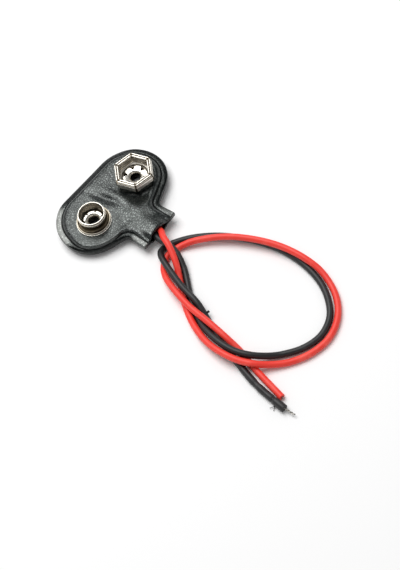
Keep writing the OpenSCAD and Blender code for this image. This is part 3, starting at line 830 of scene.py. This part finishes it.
class SNAP_OT_socket(bpy.types.Operator):
    """Builds the six-sided socket: round cup, bowed walls and the skirt that they fold into"""
    bl_idname = "battery_snap.socket"
    bl_label = "Socket"

    def execute(self, context):
        snaps = context.scene.battery_snap.snaps
        nickel = snap_plate(snaps)
        # Distance from the axis and height in millimetres, how six-sided, and how deep a corner's fold is
        section = smooth_line([
            (1.55, 0, 0, 0), (2.4, 0, 0, 0), (2.95, 0, 0, 0), (3.14, 0.08, 0.05, 0), (3.22, 0.3, 0.1, 0),
            (3.28, 0.8, 0.4, 0), (3.26, 1.4, 0.9, 0), (3.2, 2, 1, 0), (3.2, 2.5, 1, 0), (3.24, 2.64, 1, 0),
            (3.31, 2.7, 1, 0), (3.38, 2.64, 1, 0), (3.43, 2.5, 1, 0), (3.43, 1.8, 1, 0), (3.43, 1.16, 1, 0),
            (3.47, 1.09, 1, 0), (3.62, 1.06, 1, 0.2), (3.76, 1.09, 1, 0.6), (3.8, 1.16, 1, 1),
            (3.8, 1.6, 1, 1), (3.8, 2.1, 1, 1), (3.78, 2.2, 1, 1), (3.73, 2.25, 1, 1), (3.64, 2.26, 1, 1),
            (3.6, 2.31, 1, 1), (3.6, 2.4, 1, 1), (3.65, 2.45, 1, 1), (3.73, 2.48, 1, 1), (3.75, 2.56, 1, 1),
            (3.74, 2.64, 1, 1), (3.69, 2.68, 1, 1), (3.58, 2.69, 1, 1), (3.54, 2.73, 1, 1),
            (3.54, 2.81, 1, 1), (3.59, 2.85, 1, 1), (3.65, 2.89, 1, 1), (3.66, 2.94, 1, 1),
            (3.61, 2.98, 1, 1), (3.53, 3, 1, 1), (3.45, 2.97, 1, 1), (3.4, 2.91, 1, 1), (3.38, 2.82, 1, 1),
            (3.28, 2.82, 1, 1), (3.26, 2.91, 1, 1), (3.19, 2.98, 1, 1), (3.1, 3, 1, 1), (3.0, 2.97, 1, 1),
            (2.94, 2.9, 1, 1), (2.91, 2.78, 1, 0.8), (2.9, 2.6, 1, 0.5), (2.91, 2.2, 1, 0.2),
            (2.95, 1.85, 1, 0), (3.0, 1.45, 0.8, 0), (3.0, 1.15, 0.45, 0), (2.93, 0.97, 0.15, 0),
            (2.8, 0.9, 0, 0), (2.73, 0.78, 0, 0), (2.75, 0.52, 0, 0), (2.67, 0.37, 0, 0), (2.48, 0.3, 0, 0),
            (1.55, 0.3, 0, 0)], 240)
        skirt_reach = 3.8
        per_side = 28
        spread = np.linspace(-1, 1, per_side, endpoint=False)
        local = np.tile(np.sign(spread) * np.abs(spread) ** 1.7 * np.pi / 6, 6)
        angle = snaps.turn + np.repeat(np.arange(6) * np.pi / 3, per_side) + local
        reach, height, six, fold = (section[:, k:k + 1] for k in range(4))
        corner = np.maximum(snaps.corner + (reach - skirt_reach) * MM, 0.12 * MM)
        straight = rounded_hex(reach * MM, corner, local[None])
        radius = six * straight + (1 - six) * reach * MM
        mitre = fold * np.exp(-(local / np.radians(2.2)) ** 2)
        radius -= mitre * 0.08 * MM
        points = np.stack([SOCKET_X + radius * np.cos(angle), radius * np.sin(angle),
                           np.broadcast_to(SEAT_Z + height * MM, radius.shape)], axis=-1)
        # Painted shade in the grooves round the skirt and lip, in the corners' folds, low on the skirt, low
        # on the inner walls and on the floor under the petals, and painted reflections as dark lines inside
        # the walls
        first_inner_row = 166
        inner = np.arange(len(section))[:, None] >= first_inner_row
        groove = (reach > 3.5) * (reach < 3.7)
        groove_shade = sum(np.exp(-((height - z) / 0.08) ** 2) * groove for z in (2.35, 2.77))
        groove_shade = groove_shade + np.exp(-((reach - 3.33) / 0.07) ** 2) * (height > 2.7)
        # Painted shade low on the skirt
        skirt = 0.12 * (reach > 3.4) * step(2.1, 1.9, height)
        # Painted reflections: dark lines round the inner walls
        lines = sum(0.4 * np.exp(-((height - z) / 0.06) ** 2) for z in (1.3, 1.9, 2.6))
        # Painted shade low on the inner walls and on the floor under the petals
        walls = inner * (lines + 0.13 * step(2.9, 2.4, height) + 0.85 * step(2.66, 2.54, reach))
        deep = np.clip(skirt + groove_shade + mitre * 0.9 + walls, 0, 1)
        made = piece("socket_cup", [patch(points, ring=True, loop=True, mark=deep)], nickel)
        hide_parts("socket_contact")
        return {"FINISHED"}


def rivet_patch(x, flare, foot, half, petals, spin, sides=252):
    """Hollow rivet: flat head, tube, and an end rolled out over the snap's floor and split into petals.

    The flare's curve is walked out to a reach that falls as a V, from the tip to the foot, at each gap.
    """
    floor = SEAT_Z + 0.3 * MM
    thick = 0.22 * MM
    tube_r, head_r = 1.5 * MM, 2.2 * MM
    head_low, head_high = -1.8 * MM, -1.6 * MM
    curve = smooth_line(np.array(flare) * MM, 90)
    way = unit(np.gradient(curve, axis=0))
    under = curve + np.stack([way[:, 1], -way[:, 0]], axis=1) * thick
    under[:, 0] = np.where(under[:, 1] < 0, tube_r, under[:, 0])
    under[:, 1] = np.maximum(under[:, 1], np.where(curve[:, 0] > 1.3 * MM, 0.02 * MM, under[:, 1]))
    a = np.linspace(0, 2 * np.pi, sides, endpoint=False)
    off = np.abs((a + np.pi / petals) % (2 * np.pi / petals) - np.pi / petals)
    start = np.argmax(curve[:, 0] > foot * MM) / (len(curve) - 1)
    reach = start + (1 - start) * np.clip(off / np.radians(half), 0, 1) ** 1.4
    place = np.linspace(0, 1, 40)[:, None] * reach * (len(curve) - 1)
    index = np.arange(len(curve))
    walked = [np.interp(place, index, line[:, k]) for line in (curve, under) for k in (0, 1)]
    top_r, top_z, low_r, low_z = walked
    rim = np.array([(tube_r, head_high), (head_r, head_high), (head_r, head_low)])
    head = rim[:, :, None] * np.ones(sides)
    r = np.concatenate([top_r, low_r[::-1], head[:, 0]])
    z = np.concatenate([top_z, low_z[::-1], head[:, 1]])
    points = np.stack([x + r * np.cos(a + spin), r * np.sin(a + spin), floor + z], axis=-1)
    # Painted shade: darker down the tube and under the head, the lower it reaches
    return patch(points, ring=True, loop=True, mark=step(0.1 * MM, -0.4 * MM, z))


class SNAP_OT_rivets(bpy.types.Operator):
    """Builds the two hollow rivets, split and rolled out over the snaps' floors"""
    bl_idname = "battery_snap.rivets"
    bl_label = "Rivets"

    def execute(self, context):
        snaps = context.scene.battery_snap.snaps
        nickel = snap_plate(snaps)
        # Radius and height of each flare in millimetres, from its head up the tube and out to its tip
        tall = [(0.98, -1.8), (0.98, -0.3), (1.02, 0.1), (1.14, 0.36), (1.38, 0.52), (1.72, 0.61),
                (1.98, 0.62), (2.06, 0.56), (2.08, 0.42)]
        wide = [(0.98, -1.8), (0.98, -0.4), (1.02, -0.05), (1.13, 0.16), (1.35, 0.3), (1.75, 0.4),
                (2.2, 0.47), (2.53, 0.47), (2.6, 0.36)]
        for name, node, x, flare, foot, half, spin in (
                ("stud_star_rivet", "stud_rivet", STUD_X, tall, 1.35, 12, np.radians(29)),
                ("socket_star_rivet", "socket_rivet", SOCKET_X, wide, 1.5, 17, np.radians(56))):
            made = piece(name, [rivet_patch(x, flare, foot, half, snaps.petals, spin)], nickel)
            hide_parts(node)
        return {"FINISHED"}


class SNAP_OT_inside(bpy.types.Operator):
    """Gives the hidden board, solder and core ends their finishes"""
    bl_idname = "battery_snap.inside"
    bl_label = "Inside"

    def execute(self, context):
        solder = tin_solder()
        core = bpy.data.materials["tinned_copper"]
        finishes = {"contact_board": phenolic_paper(), "stud_solder": solder, "socket_solder": solder,
                    "red_core_root": core, "black_core_root": core}
        for node, finish in finishes.items():
            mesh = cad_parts[node].data
            mesh.materials.clear()
            mesh.materials.append(finish)
        return {"FINISHED"}


def pose(right, up, back, place):
    """Matrix whose columns are an object's three axes and its place."""
    turn = np.eye(4)
    turn[:3] = np.stack([right, up, back, place], axis=1)
    return Matrix(turn.tolist())


class SNAP_OT_stage(bpy.types.Operator):
    """Sets the pale floor, the soft lamp, the sky and the photograph's camera"""
    bl_idname = "battery_snap.stage"
    bl_label = "Stage"

    def execute(self, context):
        scene = context.scene
        stage = scene.battery_snap.stage
        material, tree = blank("paper_sweep")
        paper = add(tree, "BsdfDiffuse", {"Color": stage.floor})
        add(tree, "OutputMaterial", {"Surface": paper.outputs["BSDF"]})
        wide = 2.0
        corners = [(-wide, -wide, 0), (wide, -wide, 0), (wide, wide, 0), (-wide, wide, 0)]
        mesh = bpy.data.meshes.new("floor")
        mesh.from_pydata(corners, [], [(0, 1, 2, 3)])
        mesh.materials.append(material)
        floor = bpy.data.objects.new("floor", mesh)
        scene.collection.objects.link(floor)

        lamp = bpy.data.lights.new("key_lamp", "AREA")
        lamp.shape = "SQUARE"
        lamp.size = 0.36
        lamp.energy = stage.key
        lit = bpy.data.objects.new("key_lamp", lamp)
        place = np.array((0.03, 0.17, 0.44))
        aim = np.array((0.0, -0.02, 0.0))
        back = unit(place - aim)
        right = unit(np.cross((0.0, 0.0, 1.0), back))
        lit.matrix_world = pose(right, np.cross(back, right), back, place)
        scene.collection.objects.link(lit)

        world = bpy.data.worlds.new("studio")
        world.use_nodes = True
        scene.world = world
        tree = world.node_tree
        tree.nodes.clear()
        light = add(tree, "LightPath")
        way = add(tree, "TexCoord")
        height = add(tree, "SeparateXYZ", {"Vector": way.outputs["Generated"]})
        # Metal and gloss show white at the horizon and a dim ceiling, and the camera sees plain white
        room = add(tree, "ValToRGB", {"Fac": height.outputs["Z"]},
                   [(0.3, WHITE), (0.74, linear("#585858"))])
        shine = add(tree, "MixRGB", {"Fac": light.outputs["Is Glossy Ray"],
                                     "Color1": (stage.sky,) * 3 + (1,), "Color2": room.outputs["Color"]})
        seen = add(tree, "Math", {0: light.outputs["Is Camera Ray"],
                                  1: light.outputs["Is Transmission Ray"]}, operation="MAXIMUM")
        shown = add(tree, "MixRGB", {"Fac": seen.outputs["Value"], "Color1": shine.outputs["Color"],
                                     "Color2": WHITE})
        sky = add(tree, "Background", {"Color": shown.outputs["Color"], "Strength": 1.0})
        add(tree, "OutputWorld", {"Surface": sky.outputs["Background"]})

        camera = bpy.data.cameras.new("camera")
        camera.lens = CAMERA_LENS
        camera.sensor_width = CAMERA_SENSOR
        camera.clip_start = 0.01
        eye = bpy.data.objects.new("camera", camera)
        eye.matrix_world = pose(CAMERA_RIGHT, CAMERA_UP, CAMERA_BACK, CAMERA_EYE)
        scene.collection.objects.link(eye)
        scene.camera = eye
        scene.view_settings.view_transform = "Standard"
        return {"FINISHED"}


class SNAP_PT_panel(bpy.types.Panel):
    """Lists the part's pieces and settings"""
    bl_idname = "SNAP_PT_panel"
    bl_label = "Battery Snap"
    bl_space_type = "VIEW_3D"
    bl_region_type = "UI"
    bl_category = "Battery Snap"

    def draw(self, context):
        part = context.scene.battery_snap
        for group in (part.cover, part.snaps, part.leads, part.stage):
            box = self.layout.box()
            for field in group.bl_rna.properties.keys():
                if field not in ("rna_type", "name"):
                    box.prop(group, field)
        for operator in OPERATORS:
            self.layout.operator(operator.bl_idname)


OPERATORS = (SNAP_OT_stage, SNAP_OT_leads, SNAP_OT_cover, SNAP_OT_stud, SNAP_OT_socket, SNAP_OT_rivets,
             SNAP_OT_inside)
CLASSES = (CoverSettings, SnapSettings, LeadSettings, StageSettings, SnapPart, *OPERATORS, SNAP_PT_panel)


def register():
    for made in CLASSES:
        bpy.utils.register_class(made)
    bpy.types.Scene.battery_snap = PointerProperty(type=SnapPart)


def unregister():
    del bpy.types.Scene.battery_snap
    for made in reversed(CLASSES):
        bpy.utils.unregister_class(made)


def main():
    """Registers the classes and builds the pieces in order."""
    register()
    bpy.ops.battery_snap.stage()
    bpy.ops.battery_snap.leads()
    bpy.ops.battery_snap.cover()
    bpy.ops.battery_snap.stud()
    bpy.ops.battery_snap.socket()
    bpy.ops.battery_snap.rivets()
    bpy.ops.battery_snap.inside()


if __name__ == "__main__":
    main()
